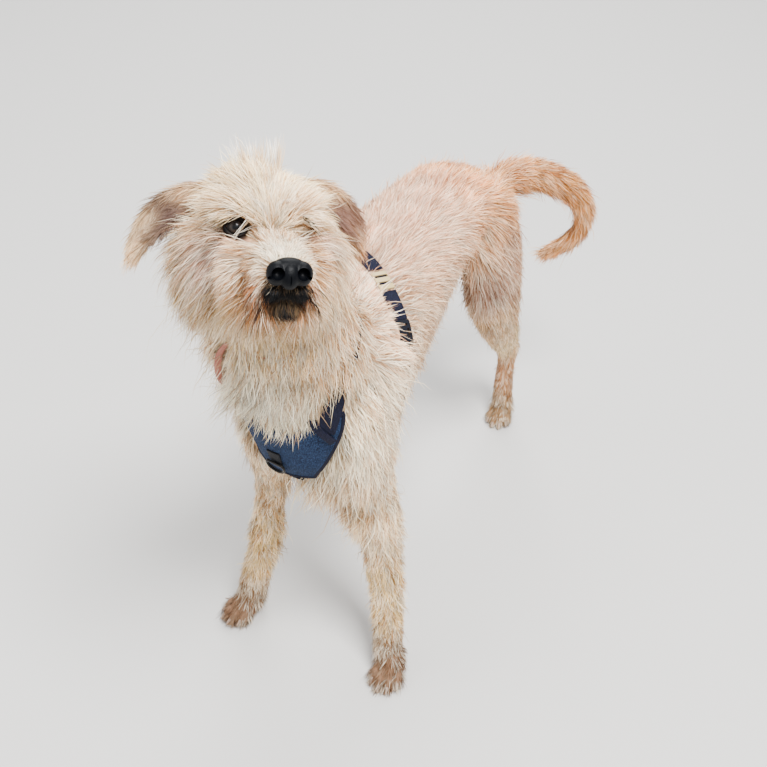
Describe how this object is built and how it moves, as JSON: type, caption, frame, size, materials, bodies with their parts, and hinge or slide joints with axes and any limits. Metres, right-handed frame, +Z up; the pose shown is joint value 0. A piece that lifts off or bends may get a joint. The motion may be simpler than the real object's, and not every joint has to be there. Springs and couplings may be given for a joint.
{
  "type": "dog",
  "caption": "Rough-coated terrier cross standing with its head raised and turned, its ears out to the sides and its tail curled round, in a chest harness and a collar.",
  "frame": {"origin": "middle of the bounding box on the floor, under the dog's barrel", "axes": "+Z up, the dog stands facing -Y, and +X is its left side"},
  "size_m": [0.3302, 0.8956, 0.84],
  "materials": {
    "coat_sand": "rough coat, sand to cream",
    "coat_tail": "feathered coat, orange tan",
    "ear_brown": "short coat, brown",
    "nose_leather": "moist skin, black",
    "eye": "wet and glossy, dark brown",
    "harness_blue": "woven, blue",
    "harness_navy": "webbing, navy",
    "slider_tan": "moulded, cream",
    "clip_black": "moulded, black",
    "ring_metal": "dark plated steel",
    "collar_coral": "webbing, coral"
  },
  "bodies": {
    "root": {"back_plate": "harness_blue", "barrel": "coat_sand", "chest": "coat_sand", "chest_panel": "harness_blue", "collar": "collar_coral", "ear_left": "ear_brown", "ear_right": "ear_brown", "eye_left": "eye", "eye_right": "eye", "forearm_left": "coat_sand", "forearm_right": "coat_sand", "girth_clip": "clip_black", "girth_slider": "slider_tan", "girth_strap_lower": "harness_navy", "girth_strap_middle": "harness_navy", "girth_strap_right": "harness_navy", "girth_strap_upper": "harness_navy", "head": "coat_sand", "loin": "coat_sand", "lower_jaw": "coat_sand", "metatarsus_left": "coat_sand", "metatarsus_right": "coat_sand", "muzzle": "coat_sand", "neck": "coat_sand", "neck_strap_left": "harness_navy", "neck_strap_right": "harness_navy", "nose": "nose_leather", "paw_fore_left": "coat_sand", "paw_fore_right": "coat_sand", "paw_hind_left": "coat_sand", "paw_hind_right": "coat_sand", "ring": "ring_metal", "rump": "coat_sand", "shank_left": "coat_sand", "shank_right": "coat_sand", "sternum_strap": "harness_navy", "tail_base": "coat_tail", "tail_middle": "coat_tail", "tail_tip": "coat_tail", "thigh_left": "coat_sand", "thigh_right": "coat_sand", "upper_arm_left": "coat_sand", "upper_arm_right": "coat_sand"}
  },
  "joints": []
}
